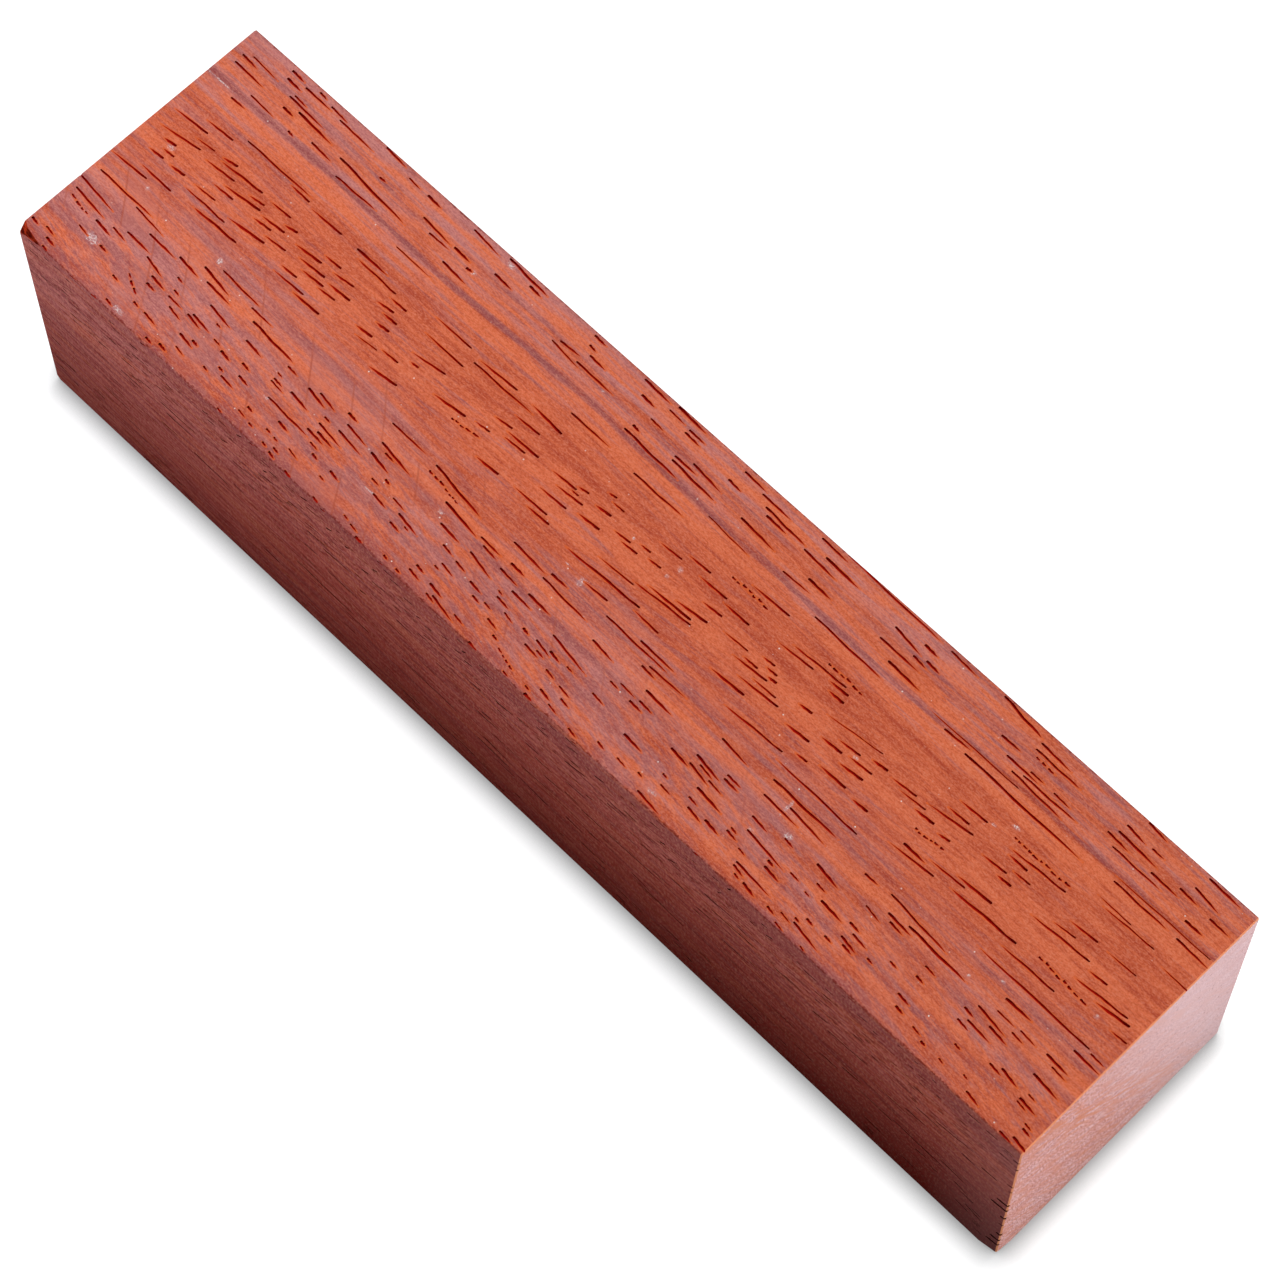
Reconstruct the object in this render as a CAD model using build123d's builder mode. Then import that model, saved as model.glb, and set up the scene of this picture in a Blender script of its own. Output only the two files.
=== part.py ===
"""A knife handle block: one piece of padauk, sawn square, lying on a long face.

Millimetres. X runs along the grain, Y across the block and Z up. The origin is the middle of
the face that the block rests on. One top corner is chipped, and two lower corners are knocked.
"""

import os

from build123d import *

# The sawn stock: a square section, cut to the length that handle blocks are sold in
block_length = 127.0
block_width = 30.2
block_height = 30.2

# Sharp edges eased by a light sanding
long_arris_radius = 0.2
end_arris = 0.12

# Wood lost at three corners of the near side, each as its reach from the corner along X, Y and Z
top_chip_along = 1.8
top_chip_across = 1.0
top_chip_down = 1.25

# The splinter that came away with the top chip, thinning out along the arris
splinter_along = 3.4
splinter_across = 0.75
splinter_down = 0.75

# The lower corner at the sawn end that shows, knocked flat
front_knock_along = 2.5
front_knock_across = 2.2
front_knock_up = 1.2

# The lower corner under the chip
back_knock_along = 0.7
back_knock_across = 0.6
back_knock_up = 0.8


def broken_corner(corner, reach):
    """The plane on which a corner broke: it meets the corner's three edges at the given reach.

    The plane's normal points out of the block, to the wood that is gone.
    """
    on_x = corner + Vector(reach.X, 0, 0)
    on_y = corner + Vector(0, reach.Y, 0)
    on_z = corner + Vector(0, 0, reach.Z)
    normal = (on_y - on_x).cross(on_z - on_x)
    if normal.dot(corner - on_x) < 0:
        normal = -normal
    return Plane(origin=on_x, x_dir=on_y - on_x, z_dir=normal)


front = block_length / 2
back = -block_length / 2
near = -block_width / 2
top_back_corner = Vector(back, near, block_height)
low_back_corner = Vector(back, near, 0)
low_front_corner = Vector(front, near, 0)

breaks = [
    broken_corner(top_back_corner, Vector(top_chip_along, top_chip_across, -top_chip_down)),
    broken_corner(top_back_corner, Vector(splinter_along, splinter_across, -splinter_down)),
    broken_corner(low_front_corner, Vector(-front_knock_along, front_knock_across, front_knock_up)),
    broken_corner(low_back_corner, Vector(back_knock_along, back_knock_across, back_knock_up)),
]

with BuildPart() as handle_block:
    # The section across the grain, with its four long arrises eased, run out to length
    with BuildSketch(Plane.YZ.offset(back)) as section:
        with Locations((0, block_height / 2)):
            RectangleRounded(block_width, block_height, long_arris_radius)
    extrude(amount=block_length)

    # Both sawn ends, with the saw's sharp edge taken off all round
    sawn_ends = handle_block.faces().filter_by(Axis.X)
    chamfer(sawn_ends.edges(), length=end_arris)

    # The chip, its splinter and the two knocked corners
    for broken in breaks:
        split(bisect_by=broken, keep=Keep.BOTTOM)

handle_block.part.label = "handle_block"

os.makedirs("parts", exist_ok=True)
export_step(handle_block.part, "parts/handle_block.step")
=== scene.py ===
"""The looks of a knife handle block: one square-sawn piece of padauk, lying on a long face.

The block keeps the size, eased edges and broken corners of the solid that it stands for, and gets
what that solid leaves out: open vessels cut by the saw, the softer wood beside them, torn wood in
the chips, and materials for sawn long grain and fuzzy end grain.
"""

import itertools
import math
import random
from types import SimpleNamespace

import bpy
from mathutils import Matrix, Vector


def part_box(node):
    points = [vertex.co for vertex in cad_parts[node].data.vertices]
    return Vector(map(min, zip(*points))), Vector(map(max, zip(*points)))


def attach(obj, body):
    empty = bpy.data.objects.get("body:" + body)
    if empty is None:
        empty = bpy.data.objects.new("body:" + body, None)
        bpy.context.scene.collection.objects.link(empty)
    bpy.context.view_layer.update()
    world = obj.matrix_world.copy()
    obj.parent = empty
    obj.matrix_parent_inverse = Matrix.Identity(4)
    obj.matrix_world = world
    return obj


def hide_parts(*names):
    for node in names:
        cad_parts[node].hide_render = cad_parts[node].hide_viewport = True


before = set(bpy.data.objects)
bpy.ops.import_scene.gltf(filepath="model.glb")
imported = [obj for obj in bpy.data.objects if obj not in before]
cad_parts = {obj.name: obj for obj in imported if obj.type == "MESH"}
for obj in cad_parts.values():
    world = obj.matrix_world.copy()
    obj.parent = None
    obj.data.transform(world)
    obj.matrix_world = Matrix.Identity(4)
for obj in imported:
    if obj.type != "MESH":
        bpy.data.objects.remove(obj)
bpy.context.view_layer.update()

MM = 0.001

# The sawn stock
LOW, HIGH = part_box("handle_block")
FRONT = HIGH.x
BACK = LOW.x
FAR = HIGH.y
NEAR = LOW.y
TOP = HIGH.z
SIZE = HIGH - LOW
MIDDLE = (LOW + HIGH) / 2

# Sharp edges eased by a light sanding
LONG_ARRIS = 0.2 * MM
END_ARRIS = 0.12 * MM

# Growth layers run down through the section at this angle to the top, from the far side
LAYER_ANGLE = math.radians(50)
ACROSS_LAYERS = Vector((0, math.sin(LAYER_ANGLE), math.cos(LAYER_ANGLE)))
IN_LAYERS = Vector((0, math.cos(LAYER_ANGLE), -math.sin(LAYER_ANGLE)))

# Interlocked grain: how far the fibres lean off the block's length, in degrees as seen on the top,
# by the depth of their growth layer in millimetres
GRAIN_LEAN = [
    (-35, 4.0), (-29, 5.5), (-23, 0.0), (-16, -6.5), (-11, -8.6), (-8.5, -7.3), (-6, -4.8), (-3.4, -1.2),
    (-1, 2.3), (1.2, 4.2), (4.6, 0.6), (7.5, -1.4), (11.6, -3.4),
]

# About the width of a wide open vessel, and the least wood between two of them
VESSEL_WIDTH = 0.33 * MM
WALL = 0.04 * MM


def only(piece, mode="OBJECT"):
    """Makes one object the selected and active one, and enters the mode."""
    if bpy.context.mode != "OBJECT":
        bpy.ops.object.mode_set(mode="OBJECT")
    bpy.ops.object.select_all(action="DESELECT")
    piece.select_set(True)
    bpy.context.view_layer.objects.active = piece
    if mode == "EDIT":
        bpy.ops.object.mode_set(mode="EDIT")
        bpy.ops.mesh.select_all(action="DESELECT")


def pick(piece, kind, wanted):
    """In edit mode, selects the piece's vertices, edges or faces for which wanted() is true."""
    bpy.ops.mesh.select_mode(type=kind)
    bpy.ops.mesh.select_all(action="DESELECT")
    bpy.ops.object.mode_set(mode="OBJECT")
    mesh = piece.data
    parts = {"VERT": mesh.vertices, "EDGE": mesh.edges, "FACE": mesh.polygons}[kind]
    for part in parts:
        part.select = wanted(part)
    bpy.ops.object.mode_set(mode="EDIT")


def run_along(piece, edge):
    """How far an edge runs along the block."""
    head, tail = (piece.data.vertices[i].co for i in edge.vertices)
    return abs(head.x - tail.x)


# Materials. Padauk's colour is built in the frame of its grain: X along the block, Y across the
# growth layers, measured up from the far end of the top, and Z within a layer.


def linear(colour):
    """A colour written as #RRGGBB, as the shader's linear values."""
    values = []
    for i in (1, 3, 5):
        share = int(colour[i:i + 2], 16) / 255
        values.append(share / 12.92 if share <= 0.04045 else ((share + 0.055) / 1.055) ** 2.4)
    return (*values, 1.0)


def add(tree, kind, inputs=None, **settings):
    """Adds a node with its settings. An input is a value, a colour, or a socket or node to link to."""
    node = tree.nodes.new("ShaderNode" + kind)
    for name, value in settings.items():
        setattr(node, name, value)
    for socket, value in (inputs or {}).items():
        if isinstance(value, str):
            value = linear(value)
        if isinstance(value, bpy.types.Node):
            value = next(output for output in value.outputs if output.enabled)
        if isinstance(value, bpy.types.NodeSocket):
            tree.links.new(value, node.inputs[socket])
        else:
            node.inputs[socket].default_value = value
    return node


def new_material(name):
    """An empty material, its node tree and its shader."""
    material = bpy.data.materials.new(name)
    material.use_nodes = True
    tree = material.node_tree
    tree.nodes.clear()
    shader = add(tree, "BsdfPrincipled")
    add(tree, "OutputMaterial", {0: shader})
    return material, tree, shader


def lay_over(tree, colour, coats):
    """Lays coats over a colour in turn. A coat is its share, from 0 to 1, and its own colour."""
    for share, shade in coats:
        colour = add(tree, "Mix", {0: share, 6: colour, 7: shade}, data_type="RGBA")
    return colour


def finish_wood(tree, shader, colour, coats, roughness, relief=None, height=0.0):
    """Gives the shader its colour and coats, a low dry gloss and a relief, its height in millimetres."""
    colour = lay_over(tree, colour, coats)
    tree.links.new(colour.outputs[2], shader.inputs["Base Color"])
    if relief:
        bump = add(tree, "Bump", {"Distance": height * MM, "Height": relief})
        tree.links.new(bump.outputs[0], shader.inputs["Normal"])
    shader.inputs["Roughness"].default_value = roughness
    shader.inputs["Specular IOR Level"].default_value = 0.01


def mottle(tree, place, size, detail, roughness=0.5):
    """A mottled pattern. The size says how long, wide and high its patches are, in millimetres."""
    scaled = add(tree, "VectorMath", {0: place, 1: size}, operation="DIVIDE")
    return add(tree, "TexNoise", {"Vector": scaled, "Scale": 1.0, "Detail": detail, "Roughness": roughness})


# How dark the growth layers are, from 0 to 1, by their depth in millimetres
GROWTH_TONES = [
    (-34, 0.6), (-22.3, 0.7), (-21.4, 0.46), (-20.2, 0.7), (-19.2, 0.46), (-16.3, 0.42), (-15.6, 0.72),
    (-14.8, 0.4), (-13.5, 0.8), (-12.7, 0.5), (-11.9, 0.76), (-10.0, 0.42), (-8.9, 0.62), (-8.2, 0.42),
    (-6.8, 0.4), (-6.2, 0.62), (-5.1, 0.24), (-3.6, 0.6), (-2.7, 0.52), (-1.3, 0.5), (-0.6, 0.38),
    (1.3, 0.4), (2.4, 0.58), (3.4, 0.5), (4.9, 0.55), (5.6, 0.28), (6.6, 0.28), (6.95, 1.0), (7.3, 0.24),
    (9.1, 0.5), (9.9, 0.22), (11.2, 0.42),
]
# How mauve they are, on the same scale
MAUVE_TONES = [
    (-34, 0.8), (-26, 0.8), (-20, 0.85), (-15, 0.95), (-12, 0.8), (-11, 0.55), (-10.2, 0.5), (-9.4, 0.65),
    (-8.8, 0.85), (-8.0, 0.6), (-6.8, 0.6), (-6.2, 0.8), (-5.5, 0.45), (-4.4, 0.45), (-3.4, 0.68),
    (-2.4, 0.45), (-1.2, 0.35), (-0.5, 0.2), (0.4, 0.02), (2.4, 0.02), (3.2, 0.12), (4.6, 0.2),
    (5.6, 0.25), (6.6, 0.3), (6.95, 0.95), (7.4, 0.45), (8.5, 0.5), (9.2, 0.65), (10.0, 0.6), (11.6, 0.9),
]
# Which way the fibres lean, by layer: 0 as on the near part of the top, 0.5 straight, 1 the other way
LEAN_TONES = [
    (-28, 1.0), (-23, 0.5), (-17, 0.0), (-7.5, 0.0), (-3.6, 0.5), (-1.2, 1.0), (2.4, 1.0), (4.6, 0.5),
]
# How soft they are at the sawn ends
SOFT_BANDS = [(-13, 0.4), (-9.9, 0.8), (-7, 0.4), (-1, 0.35), (0.6, 0.7), (2.6, 0.3)]
DEEPEST = -36
SHALLOWEST = 14


def tone_by_layer(tree, across, stops):
    """A tone from 0 to 1 that changes with the depth of the growth layer."""
    ramp = add(tree, "ValToRGB", {0: add(tree, "MapRange", {0: across, 1: DEEPEST, 2: SHALLOWEST})})
    elements = ramp.color_ramp.elements
    for i, (depth, tone) in enumerate(stops):
        place = (depth - DEEPEST) / (SHALLOWEST - DEEPEST)
        stop = elements[i] if i < 2 else elements.new(place)
        stop.position = place
        stop.color = (tone, tone, tone, 1)
    return ramp


def in_millimetres(tree):
    """The place on the piece, in millimetres."""
    here = add(tree, "TexCoord").outputs["Object"]
    return add(tree, "VectorMath", {0: here, 3: 1 / MM}, operation="SCALE")


def wood_colour(tree):
    """Padauk's heartwood: growth layers, orange and mauve streaks, and fibres that lean both ways.

    Gives its colour and fibres, how deep it lies under the near side's top, from 0 to 1, and the place
    among its layers and on the block, in millimetres.
    """
    millimetres = in_millimetres(tree)
    top_corner = Vector((0, math.cos(LAYER_ANGLE), math.sin(LAYER_ANGLE))) * -TOP / MM
    turn = (LAYER_ANGLE - math.pi / 2, 0, 0)
    grain = add(tree, "Mapping", {"Vector": millimetres, "Location": top_corner, "Rotation": turn})

    # The layers waver by half a millimetre over some centimetres of length
    waver = add(tree, "Math", {0: mottle(tree, grain, (45, 7, 30), 1.0), 1: 0.5}, operation="SUBTRACT")
    layered = add(tree, "VectorMath", {0: waver, 1: (0, 2.4, 0), 2: grain}, operation="MULTIPLY_ADD")
    across = add(tree, "SeparateXYZ", {0: layered}).outputs[1]
    growth = tone_by_layer(tree, across, GROWTH_TONES)
    mauve = tone_by_layer(tree, across, MAUVE_TONES)
    lean = tone_by_layer(tree, across, LEAN_TONES)

    # Layers about 2 mm and 0.5 mm thick, drawn out along the grain, and mottle some 5 mm long
    broad = mottle(tree, layered, (80, 1.9, 60), 2.0)
    fine = mottle(tree, layered, (24, 0.4, 20), 3.0)
    short = mottle(tree, layered, (5, 1.2, 1.8), 2.0)

    # Fibres, drawn 0.24 mm thick and 4 mm long because single ones are too fine to show, and mauve
    # streaks among them. Each of three sets leans its own way, and the layer says which set shows
    fibres = None
    for slope, low in ((12.5, None), (1.5, 0.0), (-6.0, 0.5)):
        inputs = {"Vector": layered, "Angle": math.radians(slope)}
        turned = add(tree, "VectorRotate", inputs, rotation_type="Y_AXIS")
        strands = mottle(tree, turned, (4.0, 0.24, 0.24), 3.0, 0.68)
        veins = mottle(tree, turned, (11, 0.7, 0.7), 2.5, 0.6)
        if fibres:
            share = add(tree, "MapRange", {0: lean, 1: low, 2: low + 0.5})
            strands = add(tree, "Mix", {0: share, 2: fibres, 3: strands})
            veins = add(tree, "Mix", {0: share, 2: streaks, 3: veins})
        fibres, streaks = strands, veins

    dark = add(tree, "Math", {0: growth, 1: 1.42}, operation="SUBTRACT")
    for pattern, weight in ((broad, 0.4), (fine, 0.75), (short, 0.45), (fibres, 1.2)):
        dark = add(tree, "Math", {0: pattern, 1: weight, 2: dark}, operation="MULTIPLY_ADD")
    share = add(tree, "MapRange", {0: dark, 1: 0.1, 2: 0.9}, interpolation_type="SMOOTHSTEP")

    # Patches some 20 mm long turn mauve, more of them towards the chipped end, where the added mauve is
    # partly the wood's own and partly a painted sheen
    patches = mottle(tree, layered, (22, 2.2, 12), 2.0)
    along = add(tree, "SeparateXYZ", {0: millimetres}).outputs[0]
    inputs = {0: along, 1: BACK / MM, 2: FRONT / MM, 3: -2.5, 4: -2.9}
    mauve = add(tree, "Math", {0: mauve, 1: add(tree, "MapRange", inputs)}, operation="ADD")
    mauve = add(tree, "Math", {0: patches, 1: 1.2, 2: mauve}, operation="MULTIPLY_ADD")
    mauve = add(tree, "Math", {0: streaks, 1: 2.2, 2: mauve}, operation="MULTIPLY_ADD")
    mauve = add(tree, "Math", {0: fibres, 1: 1.4, 2: mauve}, operation="MULTIPLY_ADD")
    mauve = add(tree, "MapRange", {0: mauve, 1: -0.1, 2: 0.8}, interpolation_type="SMOOTHSTEP")

    light = add(tree, "Mix", {0: mauve, 6: "#DA6E49", 7: "#C07974"}, data_type="RGBA")
    heavy = add(tree, "Mix", {0: mauve, 6: "#AC4630", 7: "#985251"}, data_type="RGBA")
    colour = add(tree, "Mix", {0: share, 6: light, 7: heavy}, data_type="RGBA")

    # Towards the near side the heartwood is more even and redder, all but the chipped end, and its
    # layers and fibres show as dark and pale lines
    deep = add(tree, "MapRange", {0: across, 1: -11.0, 2: -31.0})
    inward = add(tree, "MapRange", {0: along, 1: BACK / MM, 2: BACK / MM + 40})
    most = add(tree, "Math", {0: inward, 1: 0.44}, operation="MULTIPLY")
    even = add(tree, "MapRange", {0: across, 1: -10.8, 2: -12.5, 4: most})
    most = add(tree, "MapRange", {0: inward, 3: 0.5, 4: 0.88})
    even = add(tree, "Math", {0: deep, 1: most, 2: even}, operation="MULTIPLY_ADD")
    coats = [(even, "#A6453B")]
    starts = add(tree, "MapRange", {0: deep, 2: 0.15})
    for pattern, high, most, line in (
        (fine, 0.66, 0.5, "#662E36"),
        (fine, 0.36, 0.4, "#B8603F"),
        (fibres, 0.36, 0.85, "#54140E"),
        (fibres, 0.66, 0.6, "#C07066"),
    ):
        share = add(tree, "MapRange", {0: pattern, 1: 0.5, 2: high, 4: most})
        share = add(tree, "Math", {0: share, 1: starts}, operation="MULTIPLY")
        coats.append((share, line))

    # A dark mauve layer lies along the top of the near side
    most = add(tree, "MapRange", {0: inward, 3: 0.05, 4: 0.36})
    share = add(tree, "MapRange", {0: across, 1: -15.0, 2: -12.4, 4: most})
    share = add(tree, "MapRange", {0: across, 1: -11.3, 2: -11.8, 4: share})
    coats.append((share, "#743840"))

    # The deepest layers are darker too, most of all towards the sawn end: partly their own tone, partly
    # painted shade that darkens the near side towards its foot and its sawn end
    inputs = {0: along, 1: BACK / MM, 2: FRONT / MM, 3: 0.36, 4: 1.14}
    share = add(tree, "MapRange", {0: across, 1: -16.0, 2: -31.0, 4: add(tree, "MapRange", inputs)})
    coats.append((share, "#500A06"))
    colour = lay_over(tree, colour, coats)
    return SimpleNamespace(
        colour=colour, fibres=fibres, deep=deep, layered=layered, millimetres=millimetres
    )


# Smudges of pale dust on the top: millimetres from the chipped end and from the far arris, half
# length along and half width across, and strength
SMUDGES = [
    (5.9, 26.2, 1.1, 0.6, 0.75), (62.8, 18.9, 0.5, 0.7, 0.7), (35.4, 0.8, 0.6, 0.35, 0.6),
    (33.3, 3.8, 0.6, 0.35, 0.6), (5.6, 19.0, 0.3, 0.3, 0.6), (27.75, 9.55, 0.3, 0.2, 1.0),
    (16.0, 19.5, 0.35, 0.45, 0.65), (50.6, 4.0, 0.3, 0.2, 0.7), (68.3, 11.8, 0.4, 0.35, 0.5),
    (29.4, 26.1, 0.35, 0.2, 0.9), (43.2, 26.0, 1.1, 0.12, 0.6), (91.0, 21.5, 0.2, 1.1, 0.75),
    (92.0, 13.9, 0.4, 0.35, 0.6), (81.5, 28.8, 0.6, 0.3, 0.6), (106.4, 8.7, 0.6, 0.25, 0.65),
    (123.1, 16.6, 0.4, 0.35, 0.6), (112.8, 21.6, 0.2, 0.2, 0.8), (1.9, 6.25, 2.2, 0.12, 0.6),
    (3.8, 14.4, 0.7, 0.5, 0.5), (13.2, 29.6, 0.9, 0.35, 0.6), (60.65, 18.5, 0.4, 0.06, 1.0),
    (65.4, 21.2, 0.2, 0.15, 1.0), (63.1, 12.5, 0.15, 0.15, 1.0), (49.0, 22.9, 0.5, 0.25, 0.6),
    (67.9, 13.1, 0.3, 0.3, 0.45), (93.0, 23.4, 0.6, 0.4, 0.65), (84.9, 6.7, 0.8, 0.2, 0.8),
    (104.9, 9.9, 0.5, 0.2, 0.5), (115.3, 19.9, 0.3, 0.2, 0.5), (90.2, 25.2, 0.4, 0.3, 0.5),
]


def sawn_long_grain():
    """Padauk sawn along the grain and lightly sanded: orange-red streaked with mauve, dull and dry.

    Fine dust lies in the fibres, and the saw has left faint slanting marks across the top.
    """
    material, tree, shader = new_material("padauk_sawn_long_grain")
    wood = wood_colour(tree)
    millimetres = wood.millimetres

    # Dust and sanding fuzz, drawn 0.12 mm across on the top, and 0.5 mm tall on the sides, because
    # the real grit is too fine to show
    fuzz = mottle(tree, millimetres, (0.26, 0.12, 0.5), 3.0, 0.7)
    most = add(tree, "MapRange", {0: wood.deep, 3: 0.62, 4: 0.16})
    coats = [
        (add(tree, "MapRange", {0: fuzz, 1: 0.48, 2: 0.82, 4: most}), "#E4977C"),
        (add(tree, "MapRange", {0: fuzz, 1: 0.5, 2: 0.2, 4: 0.6}), "#842418"),
    ]

    # Marks of the saw, some 5 mm apart and slightly bowed, on the top only. Between two of them the
    # wood is burnished a little more or less
    x, y, z = add(tree, "SeparateXYZ", {0: millimetres}).outputs
    bowed = add(tree, "Math", {0: y, 1: y}, operation="MULTIPLY")
    bowed = add(tree, "Math", {0: bowed, 1: 0.012, 2: y}, operation="MULTIPLY_ADD")
    slanting = add(tree, "Math", {0: x, 1: bowed}, operation="ADD")
    faint = add(tree, "TexNoise", {"Vector": millimetres, "Scale": 0.16, "Detail": 1.0})
    faint = add(tree, "MapRange", {0: faint, 1: 0.38, 2: 0.55})
    clear = add(tree, "MapRange", {0: x, 1: BACK / MM + 40, 2: BACK / MM + 75, 3: 1.0, 4: 0.4})
    clear = add(tree, "MapRange", {0: y, 1: 2.0, 2: -5.0, 4: clear})
    faint = add(tree, "Math", {0: faint, 1: clear}, operation="MULTIPLY")
    on_top = add(tree, "Math", {0: z, 1: TOP / MM - 0.05}, operation="GREATER_THAN")
    faint = add(tree, "Math", {0: faint, 1: on_top}, operation="MULTIPLY")
    marks = {"W": slanting, "Scale": 0.2}
    strip = add(tree, "TexVoronoi", marks, voronoi_dimensions="1D").outputs["Color"]
    strip = add(tree, "SeparateXYZ", {0: strip}).outputs[0]
    strip = add(tree, "MapRange", {0: strip, 1: 0.3, 2: 0.9, 4: 0.36})
    line = add(tree, "TexVoronoi", marks, voronoi_dimensions="1D", feature="DISTANCE_TO_EDGE")
    line = add(tree, "MapRange", {0: line, 1: 0.035, 2: 0.012, 4: 0.6})
    for share, shade in ((strip, "#BE7064"), (line, "#A8503C")):
        coats.append((add(tree, "Math", {0: share, 1: faint}, operation="MULTIPLY"), shade))

    # Along the long arrises the fibres have broken out in bites of some 0.3 mm
    offset = add(tree, "VectorMath", {0: millimetres, 1: MIDDLE / MM}, operation="SUBTRACT")
    offset = add(tree, "VectorMath", {0: offset}, operation="ABSOLUTE")
    half = (0, SIZE.y / 2 / MM, SIZE.z / 2 / MM)
    offset = add(tree, "VectorMath", {0: offset, 1: half}, operation="SUBTRACT")
    from_side, from_face = add(tree, "SeparateXYZ", {0: offset}).outputs[1:]
    arris = add(tree, "Math", {0: from_side, 1: from_face}, operation="MINIMUM")
    bites = add(tree, "TexNoise", {"Vector": millimetres, "Scale": 2.4, "Detail": 3.0, "Roughness": 0.7})
    bitten = add(tree, "Math", {0: bites, 1: 0.9, 2: arris}, operation="MULTIPLY_ADD")
    bitten = add(tree, "MapRange", {0: bitten, 1: 0.3, 2: 0.42, 4: 0.8})
    coats.append((bitten, "#7A2A22"))

    # Dust of the cut lies on the sides beside the sawn end that shows
    most = add(tree, "MapRange", {0: on_top, 3: 0.3, 4: 0.0})
    share = add(tree, "MapRange", {0: x, 1: FRONT / MM - 9, 2: FRONT / MM, 4: most})
    coats.append((share, "#9C6E6C"))

    # Single specks of dust on the top, 0.1 mm across
    cells = add(tree, "TexVoronoi", {"Vector": millimetres, "Scale": 0.85})
    lot = add(tree, "SeparateXYZ", {0: cells.outputs["Color"]}).outputs[0]
    speck = add(tree, "MapRange", {0: cells.outputs["Distance"], 1: 0.08, 2: 0.04})
    speck = add(tree, "Math", {0: speck, 1: add(tree, "MapRange", {0: lot, 1: 0.5})}, operation="MULTIPLY")
    speck = add(tree, "Math", {0: speck, 1: on_top}, operation="MULTIPLY")
    coats.append((speck, "#EADCD4"))

    # Smudges of dust: a grey-pink veil, with white threads curled in it
    ragged = add(tree, "TexNoise", {"Vector": millimetres, "Scale": 2.2, "Detail": 4.0, "Roughness": 0.7})
    dusty = None
    for from_end, from_far, half_along, half_across, strength in SMUDGES:
        centre = (BACK / MM + from_end, FAR / MM - from_far, TOP / MM)
        offset = add(tree, "VectorMath", {0: millimetres, 1: centre}, operation="SUBTRACT")
        offset = add(tree, "VectorMath", {0: offset, 1: (half_along, half_across, 0.1)}, operation="DIVIDE")
        away = add(tree, "VectorMath", {0: offset}, operation="LENGTH").outputs["Value"]
        away = add(tree, "Math", {0: ragged, 1: 2.2, 2: away}, operation="MULTIPLY_ADD")
        inputs = {0: away, 1: 2.1, 2: 1.3, 4: strength}
        spot = add(tree, "MapRange", inputs, interpolation_type="SMOOTHSTEP")
        dusty = add(tree, "Math", {0: spot, 1: dusty}, operation="MAXIMUM") if dusty else spot
    veil = add(tree, "Math", {0: dusty, 1: 0.6}, operation="MULTIPLY")
    coats.append((veil, "#BE9EA2"))
    curls = add(tree, "TexNoise", {"Vector": millimetres, "Scale": 3.0, "Detail": 2.0})
    curls = add(tree, "Math", {0: curls, 1: 0.5}, operation="SUBTRACT")
    curls = add(tree, "Math", {0: curls}, operation="ABSOLUTE")
    threads = add(tree, "MapRange", {0: curls, 1: 0.035, 2: 0.01, 4: 1.3})
    threads = add(tree, "Math", {0: threads, 1: dusty}, operation="MULTIPLY", use_clamp=True)
    coats.append((threads, "#F2E8E0"))

    relief = add(tree, "Math", {0: wood.fibres, 1: fuzz}, operation="ADD")
    finish_wood(tree, shader, wood.colour, coats, 0.75, relief, 0.035)
    return material


def eased_arris():
    """The sawn end's eased edges, where a sanding block took off the fuzz: clean bright padauk, its
    brightness partly a painted highlight along the lit arrises.
    """
    material, tree, shader = new_material("padauk_eased_arris")
    wood = wood_colour(tree)
    # Painted highlight in part: bright orange laid over the edges
    finish_wood(tree, shader, wood.colour, [(0.75, "#E2966C")], 0.6, wood.fibres, 0.01)
    return material


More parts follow.
